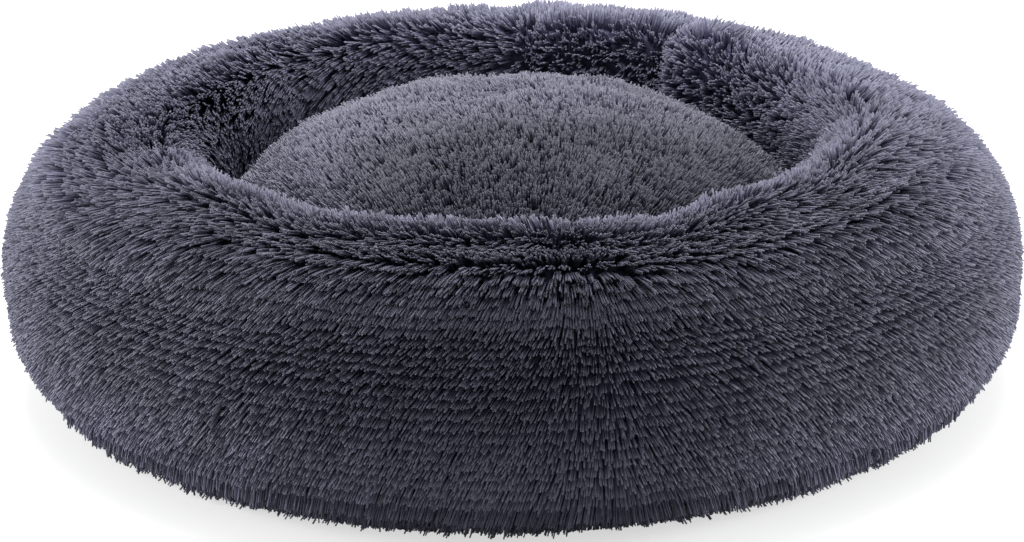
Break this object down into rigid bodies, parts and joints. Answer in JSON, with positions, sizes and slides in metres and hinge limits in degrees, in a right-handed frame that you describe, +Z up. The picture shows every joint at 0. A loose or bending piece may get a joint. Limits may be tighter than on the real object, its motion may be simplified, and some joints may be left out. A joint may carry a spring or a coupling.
{
  "type": "pet cushion bed",
  "caption": "Round faux-fur pet bed: a plush ring bolster round a loose domed cushion, on a non-slip cloth base with a hidden zip.",
  "frame": {"origin": "middle of the bed, on the floor under its base", "axes": "+Z up; -Y towards the front of the bed, where the two fur panels are sewn together; the zip is at the back"},
  "size_m": [0.7599, 0.76, 0.206],
  "materials": {
    "plush": "long-pile faux fur, dark slate grey, lighter at the tips",
    "cushion_plush": "shorter faux fur, dark slate grey, lighter at the tips",
    "nonwoven": "white spun-bonded polypropylene, matt",
    "fibre": "white hollow polyester fibre fill",
    "base_cloth": "plain-woven polyester, charcoal, matt",
    "binding": "twill tape, charcoal",
    "grip_rubber": "printed PVC dots, satin black",
    "zip_tape": "woven polyester tape, charcoal",
    "zip_coil": "nylon coil, satin",
    "zip_metal": "gunmetal-plated zinc",
    "label": "white satin ribbon, blank"
  },
  "bodies": {
    "bed": {"cover_left": "plush", "cover_right": "plush", "ring_lining": "nonwoven", "ring_fill": "fibre", "base_cloth": "base_cloth", "base_binding": "binding", "grip_dots": "grip_rubber", "zip_tape_upper": "zip_tape", "zip_tape_lower": "zip_tape", "zip_coil_upper": "zip_coil", "zip_coil_lower": "zip_coil", "zip_closed_stop": "zip_metal", "zip_open_stop": "zip_metal", "care_label": "label"},
    "cushion": {"cushion_top": "cushion_plush", "cushion_underside": "base_cloth", "cushion_bag": "nonwoven", "cushion_fill": "fibre"},
    "zip_slider": {"zip_slider": "zip_metal"},
    "zip_pull": {"zip_pull": "zip_metal"}
  },
  "joints": [
    {"name": "cushion_lift", "type": "slide", "parent": "bed", "child": "cushion", "axis": [0, 0, 1], "range_m": [0, 0.25]},
    {"name": "zip_run", "type": "hinge", "parent": "bed", "child": "zip_slider", "pos_m": [0, 0, 0.016], "axis": [0, 0, 1], "range_deg": [0, 61.61]},
    {"name": "pull_flip", "type": "hinge", "parent": "zip_slider", "child": "zip_pull", "pos_m": [-0.05092, 0.31542, 0.016], "axis": [0, 0, 1], "range_deg": [-170, 0]}
  ]
}
